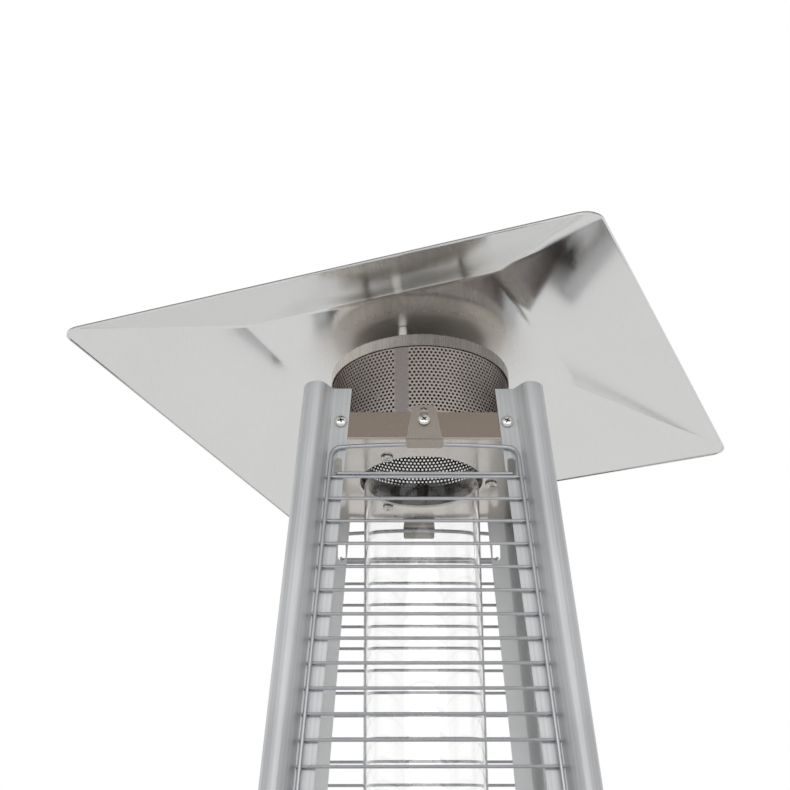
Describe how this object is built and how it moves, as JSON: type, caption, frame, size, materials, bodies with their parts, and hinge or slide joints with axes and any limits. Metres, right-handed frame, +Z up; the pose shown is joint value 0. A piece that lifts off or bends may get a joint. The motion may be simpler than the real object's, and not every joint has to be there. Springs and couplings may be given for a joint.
{
  "type": "pyramid patio heater",
  "caption": "Free-standing gas patio heater with a glass flame tube in a leaning four-post pyramid, under a square reflector.",
  "frame": {"origin": "on the ground, on the axis of the pyramid, at the middle of the whole object's footprint", "axes": "+Z up, -Y out of the front, where the door and the controls are, +X to the right seen from the front"},
  "size_m": [0.5948, 0.5948, 2.2671],
  "materials": {
    "post_steel": "satin stainless sheet",
    "guard_wire": "bright drawn wire",
    "satin_steel": "warm satin stainless sheet",
    "screen_steel": "perforated stainless sheet",
    "polished_steel": "bright polished sheet",
    "bright_zinc": "bright zinc plate",
    "quartz": "clear",
    "cast_burner": "rough",
    "brass_fitting": "machined",
    "ceramic": "glazed",
    "black_plastic": "fine moulded grain",
    "button_plastic": "moulded",
    "wheel_rubber": "matte"
  },
  "bodies": {
    "frame": {"base_tray": "post_steel", "burner_deck": "post_steel", "burner_head": "cast_burner", "clip_screw_back": "bright_zinc", "clip_screw_front": "bright_zinc", "clip_screw_left": "bright_zinc", "clip_screw_right": "bright_zinc", "control_panel": "post_steel", "door_magnet": "black_plastic", "flame_screen": "screen_steel", "gas_pipe": "bright_zinc", "gas_valve": "brass_fitting", "glass_ring": "post_steel", "glass_tube": "quartz", "guard_clip_back": "satin_steel", "guard_clip_front": "satin_steel", "guard_clip_left": "satin_steel", "guard_clip_right": "satin_steel", "igniter_body": "black_plastic", "igniter_electrode": "ceramic", "panel_back": "post_steel", "panel_left": "post_steel", "panel_right": "post_steel", "pilot_burner": "brass_fitting", "post_back_left": "post_steel", "post_back_right": "post_steel", "post_front_left": "post_steel", "post_front_right": "post_steel", "post_screw_back_left": "bright_zinc", "post_screw_back_right": "bright_zinc", "post_screw_front_left": "bright_zinc", "post_screw_front_right": "bright_zinc", "post_screw_left_left": "bright_zinc", "post_screw_left_right": "bright_zinc", "post_screw_right_left": "bright_zinc", "post_screw_right_right": "bright_zinc", "reflector": "polished_steel", "reflector_stud_1": "bright_zinc", "reflector_stud_2": "bright_zinc", "reflector_stud_3": "bright_zinc", "screen_cap": "satin_steel", "screen_screw_1": "bright_zinc", "screen_screw_2": "bright_zinc", "screen_screw_3": "bright_zinc", "thermocouple": "bright_zinc", "top_tray": "satin_steel", "wheel_axle": "bright_zinc", "wheel_bracket": "post_steel", "wire_guard_back": "guard_wire", "wire_guard_front": "guard_wire", "wire_guard_left": "guard_wire", "wire_guard_right": "guard_wire"},
    "door": {"front_door": "post_steel", "door_handle": "black_plastic"},
    "spindle": {"valve_spindle": "bright_zinc"},
    "knob": {"control_knob": "black_plastic"},
    "button": {"igniter_button": "button_plastic"},
    "wheel_left": {"wheel_left": "wheel_rubber"},
    "wheel_right": {"wheel_right": "wheel_rubber"}
  },
  "joints": [
    {"name": "door_hinge", "type": "hinge", "parent": "frame", "child": "door", "pos_m": [-0.22079, -0.24469, 0.051], "axis": [-0.0716, -0.0716, -0.9949], "range_deg": [0, 105]},
    {"name": "knob_turn", "type": "hinge", "parent": "frame", "child": "spindle", "pos_m": [-0.035, -0.19478, 0.808], "axis": [0, -0.9974, 0.0718], "range_deg": [0, 180]},
    {"name": "knob_push", "type": "slide", "parent": "spindle", "child": "knob", "axis": [0, 0.9974, -0.0718], "range_m": [0, 0.004], "stiffness_N_per_m": 600, "springref_m": -0.002},
    {"name": "igniter_push", "type": "slide", "parent": "frame", "child": "button", "axis": [0, 0.9974, -0.0718], "range_m": [0, 0.005], "stiffness_N_per_m": 600, "springref_m": -0.002},
    {"name": "wheel_left_spin", "type": "hinge", "parent": "frame", "child": "wheel_left", "pos_m": [-0.1258, 0.2715, 0.0275], "axis": [1, 0, 0], "continuous": true},
    {"name": "wheel_right_spin", "type": "hinge", "parent": "frame", "child": "wheel_right", "pos_m": [0.1258, 0.2715, 0.0275], "axis": [1, 0, 0], "continuous": true}
  ]
}
